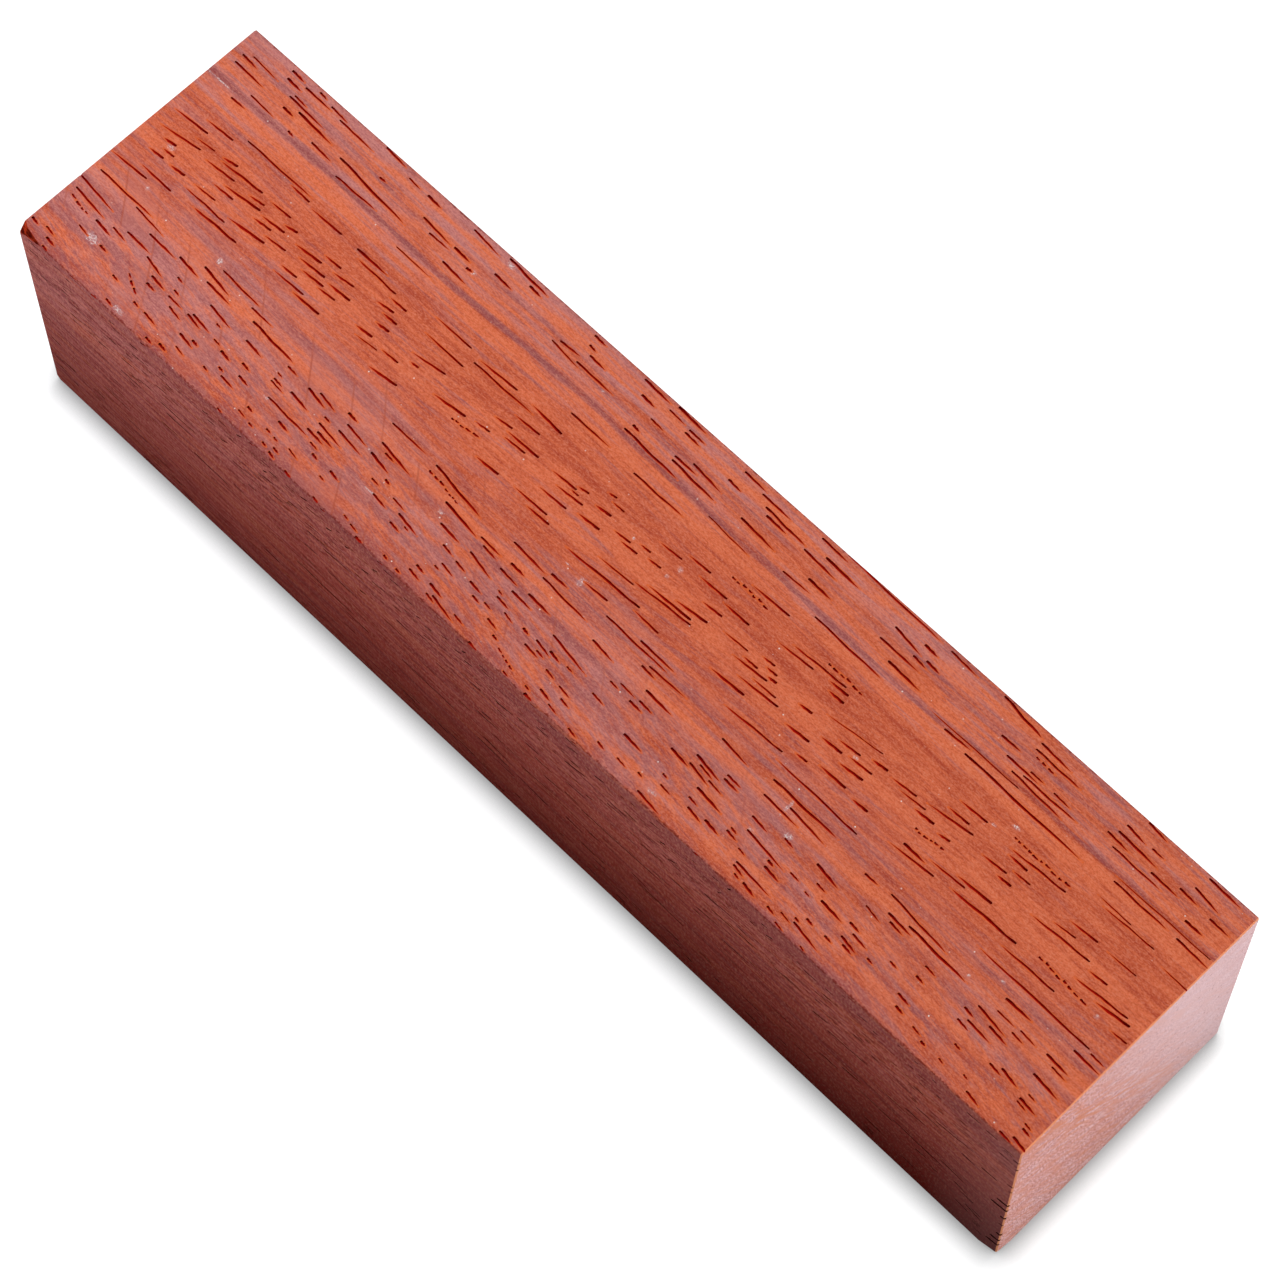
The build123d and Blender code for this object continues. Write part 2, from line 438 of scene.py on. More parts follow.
def sawn_end_grain():
    """Padauk sawn across the grain: crushed fibre ends filled with dust, pale, pink and quite matt, the
    paleness partly a painted sheen.
    """
    material, tree, shader = new_material("padauk_sawn_end_grain")
    wood = wood_colour(tree)
    millimetres = wood.millimetres

    # Fibre ends stand up as fuzz in bundles of some 0.2 mm
    fuzz = add(tree, "TexNoise", {"Vector": millimetres, "Scale": 4.6, "Detail": 4.0, "Roughness": 0.62})
    share = add(tree, "MapRange", {0: fuzz, 1: 0.42, 2: 0.58})
    colour = add(tree, "Mix", {0: share, 6: "#A8605A", 7: "#F4CACA"}, data_type="RGBA")

    # The saw has left lines some 0.5 mm apart across the end
    coats = []
    scored = mottle(tree, millimetres, (1, 9, 0.5), 2.0)
    for high, most, line in ((0.68, 0.5, "#BC7468"), (0.32, 0.25, "#E6D0D8")):
        share = add(tree, "MapRange", {0: scored, 1: 0.5, 2: high, 4: most})
        coats.append((share, line))

    # Two bands of softer layers run down through the section, more orange than the rest
    across = add(tree, "SeparateXYZ", {0: wood.layered}).outputs[1]
    bands = tone_by_layer(tree, across, SOFT_BANDS)
    streaks = mottle(tree, wood.layered, (60, 0.5, 3.5), 1.5)
    share = add(tree, "MapRange", {0: streaks, 1: 0.38, 2: 0.64, 4: 1.5})
    share = add(tree, "Math", {0: share, 1: bands}, operation="MULTIPLY")
    coats.append((share, "#D48A70"))

    # It pales to lilac away from the near side and towards the top, partly its own tone and partly a
    # painted sheen
    y, z = add(tree, "SeparateXYZ", {0: millimetres}).outputs[1:]
    pale = add(tree, "Math", {0: z, 1: 0.35, 2: y}, operation="MULTIPLY_ADD")
    pale = add(tree, "MapRange", {0: pale, 1: 2.0, 2: 15.0, 4: 0.62})
    coats.append((pale, "#E6CACF"))

    # Pores about 0.7 mm apart, most of them stopped with dust
    flat = add(tree, "VectorMath", {0: millimetres, 1: (0, 1 / 0.7, 1 / 0.7)}, operation="MULTIPLY")
    cells = add(tree, "TexVoronoi", {"Vector": flat, "Scale": 1.0})
    open_share = add(tree, "SeparateXYZ", {0: cells.outputs["Color"]}).outputs[0]
    inputs = {0: cells.outputs["Distance"], 1: 0.24, 2: 0.1}
    rim = add(tree, "MapRange", inputs, interpolation_type="SMOOTHSTEP")
    strength = add(tree, "MapRange", {0: open_share, 1: 0.55, 2: 1.0, 3: 0.12, 4: 0.6})
    pore = add(tree, "Math", {0: rim, 1: strength}, operation="MULTIPLY")
    coats.append((pore, "#8E4A40"))

    # Beside the top and near arrises, a painted highlight: a thin line of lighter orange where the burr
    # catches the light
    below = add(tree, "Math", {0: TOP / MM, 1: z}, operation="SUBTRACT")
    inside = add(tree, "Math", {0: y, 1: NEAR / MM}, operation="SUBTRACT")
    edge = add(tree, "Math", {0: below, 1: inside}, operation="MINIMUM")
    edge = add(tree, "Math", {0: fuzz, 1: edge}, operation="ADD")
    arris_highlight = add(tree, "MapRange", {0: edge, 1: 0.78, 2: 0.5, 4: 0.62}, interpolation_type="SMOOTHSTEP")
    coats.append((arris_highlight, "#DC9474"))

    finish_wood(tree, shader, colour, coats, 0.85, fuzz, 0.11)
    return material


def soft_flank():
    """The soft parenchyma beside each vessel of the top: strong orange, worn a little lower by sanding."""
    material, tree, shader = new_material("padauk_soft_flank")
    wood = wood_colour(tree)
    inputs = {"Vector": wood.millimetres, "Scale": 3.5, "Detail": 3.0, "Roughness": 0.7}
    share = add(tree, "MapRange", {0: add(tree, "TexNoise", inputs), 1: 0.35, 2: 0.6, 3: 0.1, 4: 0.85})
    finish_wood(tree, shader, wood.colour, [(share, "#D4602F")], 0.7, wood.fibres, 0.02)
    return material


def vessel_lining():
    """The inside of an open vessel: stained dark red by its gum, and orange where it runs out."""
    material, tree, shader = new_material("padauk_vessel_lining")
    millimetres = in_millimetres(tree)
    offset = add(tree, "VectorMath", {0: millimetres, 1: MIDDLE / MM}, operation="SUBTRACT")
    offset = add(tree, "VectorMath", {0: offset}, operation="ABSOLUTE")
    depths = add(tree, "VectorMath", {0: SIZE / 2 / MM, 1: offset}, operation="SUBTRACT")
    x, y, z = add(tree, "SeparateXYZ", {0: depths}).outputs
    depth = add(tree, "Math", {0: y, 1: z}, operation="MINIMUM")
    depth = add(tree, "Math", {0: x, 1: depth}, operation="MINIMUM")
    blotch = add(tree, "TexNoise", {"Vector": millimetres, "Scale": 3.0, "Detail": 2.0})
    depth = add(tree, "Math", {0: blotch, 1: 0.08, 2: depth}, operation="MULTIPLY_ADD")
    share = add(tree, "MapRange", {0: depth, 1: 0.03, 2: 0.09}, interpolation_type="SMOOTHSTEP")
    colour = add(tree, "Mix", {0: share, 6: "#A83A1C", 7: "#AA200C"}, data_type="RGBA")
    deeper = add(tree, "MapRange", {0: depth, 1: 0.09, 2: 0.18}, interpolation_type="SMOOTHSTEP")

    # Under the top the lining turns near black: painted shade in the vessels of the shaded sides
    height = add(tree, "SeparateXYZ", {0: millimetres}).outputs[2]
    under = add(tree, "MapRange", {0: height, 1: TOP / MM - 0.5, 2: TOP / MM - 1.0, 4: 0.92})
    finish_wood(tree, shader, colour, [(deeper, "#A81208"), (under, "#200604")], 0.8)
    return material


def torn_wood():
    """Wood that broke away at a corner: raw dark red splinters, drawn 0.25 mm thick."""
    material, tree, shader = new_material("padauk_torn")
    splinters = mottle(tree, wood_colour(tree).layered, (1.6, 0.25, 0.25), 3.0)
    share = add(tree, "MapRange", {0: splinters, 1: 0.35, 2: 0.65})
    colour = add(tree, "Mix", {0: share, 6: "#4E0A04", 7: "#B8381A"}, data_type="RGBA")
    finish_wood(tree, shader, colour, [], 0.8, splinters, 0.2)
    return material


# The sawn block

# Wood lost at three corners of the near side: each corner, and its reach along X, Y and Z
BREAKS = [
    (Vector((BACK, NEAR, TOP)), Vector((1.8, 1.0, -1.25)) * MM),
    (Vector((BACK, NEAR, TOP)), Vector((3.4, 0.75, -0.75)) * MM),
    (Vector((FRONT, NEAR, 0)), Vector((-2.5, 2.2, 1.2)) * MM),
    (Vector((BACK, NEAR, 0)), Vector((0.7, 0.6, 0.8)) * MM),
]


# How far the splinters of a broken corner stand up or lie down
SPLINTERS = 0.07 * MM

# The smallest distance that a cut still tells apart
CLOSE = 1e-7

# Places of the materials on the block
LONG_GRAIN, END_GRAIN, TORN, EASED = range(4)


def is_under(vertex, depth):
    """True for a vertex that lies in the block, at least so deep under its faces."""
    return all(abs(vertex.co[i] - MIDDLE[i]) < SIZE[i] / 2 - depth for i in range(3))


def break_corner(piece, corner, reach):
    """Cuts a corner off at its reach, and roughens the broken face inwards."""
    on_x = corner + Vector((reach.x, 0, 0))
    on_y = corner + Vector((0, reach.y, 0))
    on_z = corner + Vector((0, 0, reach.z))
    outward = (on_y - on_x).cross(on_z - on_x).normalized()
    if outward.dot(corner - on_x) < 0:
        outward = -outward
    only(piece, "EDIT")
    bpy.ops.mesh.select_all(action="SELECT")
    bpy.ops.mesh.bisect(plane_co=on_x, plane_no=outward, use_fill=True, clear_outer=True, threshold=CLOSE)
    pick(piece, "FACE", lambda face: face.normal.dot(outward) > 0.999)
    piece.active_material_index = TORN
    bpy.ops.object.material_slot_assign()
    bpy.ops.mesh.poke()
    bpy.ops.mesh.subdivide(number_cuts=2)
    rim = {i for face in piece.data.polygons if face.material_index != TORN for i in face.vertices}

    def is_inside(vertex):
        off_plane = abs((vertex.co - on_x).dot(outward))
        return off_plane < 10 * CLOSE and vertex.index not in rim and is_under(vertex, SPLINTERS)

    pick(piece, "VERT", is_inside)
    bpy.ops.transform.vertex_random(offset=SPLINTERS, seed=5)
    bpy.ops.object.mode_set(mode="OBJECT")


def model_block():
    """The sawn and eased block, with its broken corners."""
    bpy.ops.object.select_all(action="DESELECT")
    bpy.ops.mesh.primitive_cube_add(size=1, location=MIDDLE, scale=SIZE)
    block = bpy.context.object
    block.name = "padauk_block"
    bpy.ops.object.transform_apply(location=True, rotation=True, scale=True)
    for material in (sawn_long_grain(), sawn_end_grain(), torn_wood(), eased_arris()):
        block.data.materials.append(material)

    only(block, "EDIT")
    pick(block, "EDGE", lambda edge: run_along(block, edge) > SIZE.x / 2)
    bpy.ops.mesh.bevel(offset=LONG_ARRIS, segments=3, affect="EDGES")
    pick(block, "FACE", lambda face: abs(face.normal.x) > 0.9)
    block.active_material_index = END_GRAIN
    bpy.ops.object.material_slot_assign()
    bpy.ops.mesh.select_mode(type="EDGE")
    bpy.ops.mesh.region_to_loop()
    bpy.ops.mesh.bevel(offset=END_ARRIS, segments=1, affect="EDGES", material=EASED)
    pick(block, "FACE", lambda face: face.material_index == EASED and face.center.x < MIDDLE.x)
    block.active_material_index = LONG_GRAIN
    bpy.ops.object.material_slot_assign()

    # The long faces are divided, so that no face has to hold hundreds of vessels
    cuts = [(i / 16, (1, 0, 0)) for i in range(1, 16)]
    for i in range(1, 5):
        cuts += [(i / 5, (0, 1, 0)), (i / 5, (0, 0, 1))]
    for share, normal in cuts:
        bpy.ops.mesh.select_all(action="SELECT")
        bpy.ops.mesh.bisect(plane_co=LOW + SIZE * share, plane_no=normal, threshold=CLOSE)
    bpy.ops.object.mode_set(mode="OBJECT")
    for corner, reach in BREAKS:
        break_corner(block, corner, reach)
    return block


# The open vessels


def lean_at(depth):
    """The slope of the fibres on the top, where a growth layer at this depth meets it."""
    for (low, lean_low), (high, lean_high) in zip(GRAIN_LEAN, GRAIN_LEAN[1:]):
        if depth <= high:
            share = min(max((depth - low) / (high - low), 0), 1)
            return math.tan(math.radians(lean_low + (lean_high - lean_low) * share))
    return math.tan(math.radians(GRAIN_LEAN[-1][1]))


def grain_direction(point):
    """The way that the fibres and vessels run at a point in the block."""
    depth = (point - Vector((0, 0, TOP))).dot(ACROSS_LAYERS) / MM
    swing = lean_at(depth) / math.cos(LAYER_ANGLE)
    return (Vector((1, 0, 0)) + IN_LAYERS * swing).normalized()


# A vessel's shape from where it dives under the wood, past its blunt open head, to its thin tail:
# place along the opening, height over the face, radius and sideways drift, all but the first in widths
SHORT_VESSEL = [
    (-0.1, -0.85, 0.35, 0.0), (0.0, -0.36, 0.5, 0.0), (0.18, -0.22, 0.5, 0.06), (0.4, -0.17, 0.42, -0.05),
    (0.62, -0.14, 0.44, 0.05), (0.82, -0.03, 0.26, -0.04), (1.02, 0.08, 0.1, 0.0),
]
THIN_VESSEL = [
    (0.0, -0.4, 0.4, 0.0), (0.16, -0.2, 0.5, 0.05), (0.5, -0.14, 0.42, -0.06), (0.8, -0.04, 0.3, 0.04),
    (1.02, 0.1, 0.1, 0.0),
]
LONG_VESSEL = [
    (-0.04, -0.85, 0.35, 0.0), (0.0, -0.36, 0.5, 0.0), (0.07, -0.26, 0.52, 0.06),
    (0.15, -0.18, 0.42, 0.16), (0.24, -0.24, 0.5, 0.1), (0.33, -0.14, 0.4, -0.02),
    (0.42, -0.22, 0.5, -0.1), (0.52, -0.16, 0.42, -0.15), (0.62, -0.2, 0.48, -0.06),
    (0.74, -0.1, 0.36, 0.08), (0.86, -0.08, 0.34, 0.1), (1.02, 0.1, 0.08, 0.0),
]
# Vessels from this length on are long ones
LONG_FROM = 5.0 * MM


def model_vessel(name, sides, shape, lining):
    """One vessel at unit size along X, from its head to its tail."""
    bpy.ops.object.select_all(action="DESELECT")
    steps = len(shape) - 1
    turn = (0, math.pi / 2, 0)
    bpy.ops.mesh.primitive_cylinder_add(vertices=sides, radius=0.5, depth=1, rotation=turn)
    bpy.ops.transform.translate(value=(0.5, 0, 0))
    tube = bpy.context.object
    tube.name = name
    bpy.ops.object.transform_apply(location=True, rotation=True, scale=True)
    only(tube, "EDIT")
    pick(tube, "EDGE", lambda edge: run_along(tube, edge) > 0.5)
    bpy.ops.mesh.subdivide(number_cuts=steps - 1)
    bpy.ops.object.mode_set(mode="OBJECT")
    step_of = [round(vertex.co.x * steps) for vertex in tube.data.vertices]
    bpy.ops.object.mode_set(mode="EDIT")
    for i, (at, height, radius, drift) in enumerate(shape):
        pick(tube, "VERT", lambda vertex: step_of[vertex.index] == i)
        bpy.ops.transform.resize(value=(1, radius * 2, radius * 2), center_override=(i / steps, 0, 0))
        bpy.ops.transform.translate(value=(at - i / steps, drift, height))
    bpy.ops.object.mode_set(mode="OBJECT")
    tube.data.materials.append(lining)
    return tube


# The flank beside a vessel: how deep it is worn, how wide it shows, how much longer than the vessel
# it is, how thick its model is, and how far flanks of one round keep from each other's vessels
FLANK_DEPTH = 0.008 * MM
FLANK_WIDTH = 0.07 * MM
FLANK_SPARE = 0.35 * MM
FLANK_THICKNESS = 0.2 * MM
FLANK_REACH = 0.4 * MM


def model_flank():
    """The outline of the soft wood beside a vessel, at unit size: a flat plate of six sides."""
    bpy.ops.object.select_all(action="DESELECT")
    bpy.ops.mesh.primitive_cylinder_add(vertices=6, radius=0.5, depth=1)
    plate = bpy.context.object
    plate.name = "flank"
    plate.data.materials.append(soft_flank())
    return plate


# Each face that shows vessels: a point on it, and its outward direction
SIDES = {
    "top": (Vector((0, 0, TOP)), Vector((0, 0, 1))),
    "near": (Vector((0, NEAR, 0)), Vector((0, -1, 0))),
    "far": (Vector((0, FAR, 0)), Vector((0, 1, 0))),
    "under": (Vector((0, 0, 0)), Vector((0, 0, -1))),
}

# What is noted before it is cut: the places that vessels take up, cell by cell, and each vessel,
# beaded vessel and single bead, as its face, head, tail and width
taken = {}
vessels = []
beaded = []
beads = []


def cell_of(point):
    """The cell, one millimetre across, that a point lies in."""
    return tuple(math.floor(v / MM) for v in point)


def axis_points(head, tail, outward, width):
    """Points along a vessel's middle line, under its opening and beyond the head."""
    run = tail - head
    steps = max(3, int(run.length / (0.3 * MM)))
    points = [head - run * 0.12 - outward * width]
    for i in range(steps + 1):
        points.append(head + run * (i / steps) - outward * width * 0.15)
    return points


def is_free(points, width):
    """True if no other vessel comes too near to these points."""
    for point in points:
        cell = cell_of(point)
        for step in itertools.product((-1, 0, 1), repeat=3):
            for other, reach in taken.get(tuple(map(sum, zip(cell, step))), ()):
                if (other - point).length < (width + reach) * 0.55 + WALL:
                    return False
    return True


def take(points, width):
    """Notes that a vessel of this width takes up the points."""
    for point in points:
        taken.setdefault(cell_of(point), []).append((point, width))


def open_vessel(face, head, tail, width):
    """Notes a vessel that the saw opened on a face, if there is room for it."""
    points = axis_points(head, tail, SIDES[face][1], width)
    if not is_free(points, width):
        return False
    take(points, width)
    vessels.append((face, head, tail, width))
    return True


def on_top(along, row):
    """A point on the top: millimetres from the chipped end and from the far arris."""
    return Vector((BACK + along * MM, FAR - row * MM, TOP))


def on_near(along, down):
    """A point on the near side: millimetres from the chipped end and down from the top."""
    return Vector((BACK + along * MM, NEAR, TOP - down * MM))


# Vessels that the eye meets first on the top: head and tail, as millimetres from the chipped end and
# from the far arris
WIDE_ON_TOP = [
    (98.5, 6.8, 112.3, 7.0), (15.9, 4.05, 25.1, 4.75), (68.3, 17.0, 59.6, 17.4), (60.0, 4.5, 65.6, 4.8),
    (66.2, 4.8, 72.0, 4.9), (113.7, 16.6, 106.4, 16.85), (106.1, 21.95, 113.0, 22.25),
    (45.3, 19.95, 51.8, 20.8), (54.7, 5.3, 61.6, 5.6), (22.8, 21.6, 28.5, 21.95),
    (15.6, 17.1, 10.2, 17.3), (17.5, 15.3, 13.3, 15.8), (97.2, 0.3, 102.2, 0.95), (34.8, 0.35, 40.0, 0.7),
    (88.3, 20.4, 96.0, 20.5), (9.6, 3.4, 14.2, 3.65), (24.1, 9.6, 28.0, 9.6), (14.7, 13.2, 10.5, 13.7),
    (26.5, 16.85, 23.2, 16.95), (15.5, 20.85, 19.2, 21.35), (43.6, 14.65, 40.0, 15.1),
    (36.9, 16.9, 33.7, 17.3), (48.6, 21.9, 53.0, 22.4), (40.2, 23.2, 42.8, 23.6), (76.7, 1.7, 80.8, 1.85),
    (73.6, 13.8, 70.2, 14.2), (74.4, 22.25, 77.6, 22.4), (87.6, 5.1, 91.5, 5.25),
    (80.8, 16.5, 77.0, 16.7), (93.3, 16.55, 90.3, 16.6), (81.9, 23.45, 85.0, 23.9),
    (96.5, 23.4, 99.3, 23.8), (84.1, 25.65, 87.2, 25.95), (99.1, 25.6, 101.7, 25.8),
    (125.7, 15.3, 122.2, 15.7), (109.7, 15.4, 105.9, 15.6), (116.5, 20.85, 119.4, 20.85),
    (56.7, 0.25, 60.3, 0.45), (53.4, 1.75, 55.1, 1.85), (55.0, 4.5, 55.9, 4.6), (77.0, 4.3, 79.8, 4.4),
    (60.1, 12.4, 58.4, 12.6), (60.3, 14.1, 57.9, 14.3), (6.1, 1.6, 8.0, 1.7), (24.6, 1.05, 26.4, 1.15),
    (8.1, 4.05, 9.5, 4.1), (30.3, 3.15, 32.4, 3.25), (32.6, 3.9, 33.3, 3.8), (9.8, 11.45, 8.2, 11.75),
    (18.9, 12.35, 17.5, 12.65), (22.8, 13.0, 19.8, 13.3), (32.4, 13.55, 30.9, 13.7),
    (27.5, 13.85, 24.9, 14.0), (4.1, 14.0, 2.7, 14.2), (31.7, 15.0, 29.8, 15.2), (7.0, 15.6, 5.3, 15.8),
    (88.8, 1.65, 90.4, 1.75), (122.6, 4.75, 124.6, 4.75), (87.4, 10.05, 85.3, 10.15),
    (87.3, 10.45, 85.6, 10.5), (87.6, 10.85, 85.9, 10.9), (109.8, 13.05, 108.3, 13.15),
    (94.8, 12.75, 93.2, 12.95), (86.3, 13.5, 84.9, 13.65), (101.1, 13.55, 99.0, 13.7),
    (90.8, 14.4, 88.5, 14.55), (88.0, 15.65, 85.4, 15.85), (96.2, 16.8, 94.5, 16.9),
    (100.5, 16.7, 103.0, 16.75),
]
EVEN_ON_TOP = [
    (97.0, 19.0, 87.4, 18.85), (111.0, 19.1, 97.6, 19.0), (124.6, 19.2, 111.8, 19.1),
    (78.0, 0.1, 89.5, 0.45), (50.2, 7.6, 55.0, 7.6), (58.5, 7.9, 64.6, 7.9), (47.5, 7.6, 49.6, 7.5),
    (66.8, 19.65, 74.6, 19.8), (8.5, 8.9, 17.0, 8.9), (40.2, 10.25, 47.7, 10.2), (115.8, 6.4, 122.0, 6.5),
    (84.5, 9.0, 71.5, 9.5), (103.0, 20.9, 110.0, 21.5), (72.7, 15.0, 66.2, 15.5),
    (37.9, 17.5, 28.0, 17.8), (87.0, 18.0, 80.4, 18.35), (80.0, 6.6, 88.3, 6.8),
    (29.5, 25.95, 34.8, 26.2), (119.3, 13.35, 113.0, 13.7), (119.0, 17.5, 113.0, 17.6),
    (102.6, 2.05, 107.8, 2.15), (102.5, 5.1, 108.5, 5.4), (60.1, 21.0, 65.8, 21.3),
    (1.0, 20.7, 8.0, 20.75), (46.8, 3.55, 51.5, 3.65), (104.0, 9.6, 106.5, 9.6), (8.1, 1.1, 11.5, 1.15),
    (7.7, 2.8, 12.5, 3.0), (12.8, 4.8, 15.5, 4.95), (17.0, 5.7, 22.2, 5.6), (21.9, 9.6, 18.0, 9.7),
    (6.0, 12.7, 1.5, 13.4), (13.3, 16.4, 8.0, 16.4), (24.0, 16.45, 20.3, 16.6), (4.7, 18.35, 0.3, 18.6),
    (9.3, 22.1, 12.8, 22.2), (0.2, 22.4, 5.0, 22.9), (0.8, 23.55, 5.0, 24.0), (7.7, 23.4, 10.8, 23.5),
    (10.9, 23.9, 13.4, 24.4), (18.8, 23.2, 21.8, 23.6), (26.7, 12.6, 24.4, 12.9),
    (26.0, 2.95, 29.8, 3.25), (45.0, 9.45, 40.5, 9.7), (39.2, 12.95, 35.6, 13.5),
    (44.4, 20.7, 49.5, 21.35), (46.4, 25.7, 49.1, 26.1), (36.5, 23.75, 39.7, 24.1),
    (34.7, 24.5, 37.8, 24.85), (74.7, 2.5, 78.7, 2.7), (78.3, 8.15, 74.0, 8.3), (73.2, 10.9, 70.0, 11.0),
    (56.7, 14.75, 53.5, 14.9), (57.5, 13.45, 54.5, 13.7), (55.9, 16.4, 52.0, 16.5),
    (65.8, 18.55, 63.1, 18.7), (55.8, 20.35, 60.0, 20.6), (67.6, 22.15, 70.3, 22.4),
    (64.8, 24.3, 69.5, 25.0), (53.7, 23.8, 56.8, 24.4), (101.2, 4.3, 104.9, 4.35), (86.7, 9.6, 80.7, 9.9),
    (104.2, 11.9, 99.5, 12.5), (104.3, 10.15, 101.3, 10.3), (81.3, 14.1, 77.5, 14.4),
    (83.7, 15.2, 79.2, 15.5), (82.4, 20.8, 85.7, 21.1), (91.2, 21.3, 95.7, 21.7),
    (88.7, 22.0, 92.8, 22.15), (82.0, 24.45, 84.6, 24.9), (90.0, 25.4, 94.8, 25.95),
    (91.4, 28.2, 95.6, 28.5), (80.6, 29.55, 83.5, 29.85), (98.8, 28.7, 102.0, 29.2),
    (54.4, 29.2, 57.4, 29.75), (61.8, 28.5, 64.5, 29.3), (121.2, 1.85, 124.2, 2.25),
    (125.1, 14.85, 119.5, 15.3), (115.3, 23.0, 118.7, 23.45), (115.5, 24.6, 118.2, 24.8),
    (123.8, 20.2, 126.8, 20.3), (75.1, 0.55, 78.4, 0.67), (59.0, 1.25, 61.0, 1.3), (58.9, 1.7, 60.8, 1.8),
    (47.2, 2.25, 49.2, 2.35), (46.4, 1.5, 47.3, 1.6), (44.2, 3.1, 46.6, 2.95), (70.4, 10.1, 67.9, 10.2),
    (59.2, 10.75, 58.3, 10.9), (49.7, 11.2, 46.8, 11.35), (47.5, 12.5, 45.6, 12.75),
    (50.1, 13.45, 47.6, 13.6), (57.1, 12.2, 56.0, 12.4), (56.0, 12.75, 53.2, 12.9),
    (63.2, 13.05, 61.4, 13.2), (64.4, 13.4, 62.5, 13.55), (66.9, 12.9, 65.5, 13.05),
    (80.8, 12.55, 79.5, 12.65), (81.6, 13.1, 80.4, 13.15), (9.4, 0.5, 10.4, 0.6), (10.3, 5.5, 11.1, 5.6),
    (22.4, 5.6, 25.8, 5.8), (20.0, 2.9, 20.8, 2.85), (7.4, 9.85, 4.2, 10.05), (17.3, 9.35, 14.8, 9.3),
    (8.9, 12.05, 7.0, 12.25), (14.6, 12.55, 12.9, 12.8), (24.5, 12.1, 22.5, 12.2),
    (30.0, 10.4, 25.0, 10.3), (32.0, 10.95, 30.0, 11.0), (19.5, 14.45, 17.0, 14.7),
    (26.5, 14.8, 24.4, 15.0), (37.0, 14.2, 36.1, 14.3), (84.7, 0.5, 87.5, 0.9), (88.8, 3.15, 90.4, 3.3),
    (85.5, 3.95, 90.2, 4.0), (102.6, 1.3, 106.2, 1.5), (114.3, 0.2, 116.6, 0.45),
    (113.1, 1.7, 115.4, 1.95), (112.3, 3.35, 114.8, 3.5), (124.0, 3.15, 126.2, 3.2),
    (123.2, 6.5, 127.0, 6.65), (95.6, 6.35, 98.6, 6.2), (88.5, 9.15, 95.4, 9.3),
    (103.3, 11.4, 101.0, 11.5), (108.7, 12.45, 106.1, 12.65), (103.2, 13.75, 102.0, 13.95),
    (89.6, 14.8, 87.3, 14.95), (121.8, 13.85, 119.9, 14.0), (89.2, 17.15, 88.0, 17.25),
    (104.2, 16.75, 106.2, 16.7),
]
THIN_ON_TOP = [
    (104.0, 5.9, 93.5, 5.9), (115.0, 5.9, 104.6, 5.75), (126.5, 5.9, 115.6, 5.9), (66.3, 6.2, 71.5, 6.5),
    (93.4, 11.9, 87.5, 12.6), (123.0, 11.5, 119.9, 11.6), (127.0, 9.4, 124.1, 9.35),
    (33.0, 15.65, 30.5, 15.9), (26.5, 6.9, 31.0, 6.95), (119.5, 8.35, 115.8, 8.3),
]

# Vessels on the top that the saw opened bead by bead
BEADED_ON_TOP = [
    (42.8, 15.65, 46.0, 15.3), (100.2, 15.05, 103.0, 14.75), (115.9, 16.05, 121.6, 16.5),
    (62.2, 28.6, 64.6, 29.2), (1.0, 24.4, 3.8, 24.8), (45.2, 20.75, 49.2, 21.2),
    (106.9, 9.5, 113.4, 9.55), (72.0, 8.95, 76.0, 9.0), (11.0, 26.3, 12.9, 27.2), (84.0, 8.95, 88.0, 9.1),
    (103.1, 2.55, 105.4, 2.7),
]

# The width that a beaded vessel takes up, and the least and most of each bead, in millimetres
BEADED_WIDTH = 0.42 * MM
BEAD_LENGTH = (0.3, 0.8)
BEAD_WIDTH = (0.22, 0.32)
BEAD_OFFSET = (-0.1, 0.1)
BEAD_GAP = (0.03, 0.2)

# Vessels that the eye meets first on the near side: head and tail, as millimetres from the chipped
# end and down from the top
WIDE_ON_NEAR = [
    (38.0, 2.2, 39.1, 1.6), (45.7, 6.0, 46.9, 5.5), (59.2, 5.0, 60.4, 4.7), (63.0, 7.8, 65.4, 7.35),
    (71.9, 6.8, 75.0, 5.8), (75.8, 3.7, 77.2, 3.15), (61.0, 13.6, 62.5, 13.4), (71.8, 20.3, 74.2, 20.6),
    (97.0, 3.7, 97.9, 3.2), (103.0, 11.5, 105.0, 11.0), (123.4, 11.3, 125.4, 11.0),
    (107.0, 18.5, 109.7, 18.1), (116.3, 21.9, 117.8, 21.5), (114.5, 14.1, 117.0, 13.8),
    (31.3, 0.6, 32.1, 0.25), (29.6, 1.5, 30.4, 0.9), (40.8, 0.6, 41.5, 0.25), (48.2, 0.6, 49.0, 0.25),
    (16.7, 0.8, 17.5, 0.4), (43.7, 4.25, 44.3, 3.8), (41.2, 4.0, 42.1, 3.4), (32.8, 4.3, 33.4, 3.8),
    (47.4, 3.6, 48.1, 3.1), (59.0, 3.3, 59.6, 2.8), (84.0, 4.9, 84.7, 4.4), (92.3, 1.3, 92.7, 0.7),
    (73.0, 0.6, 73.6, 0.25),
]
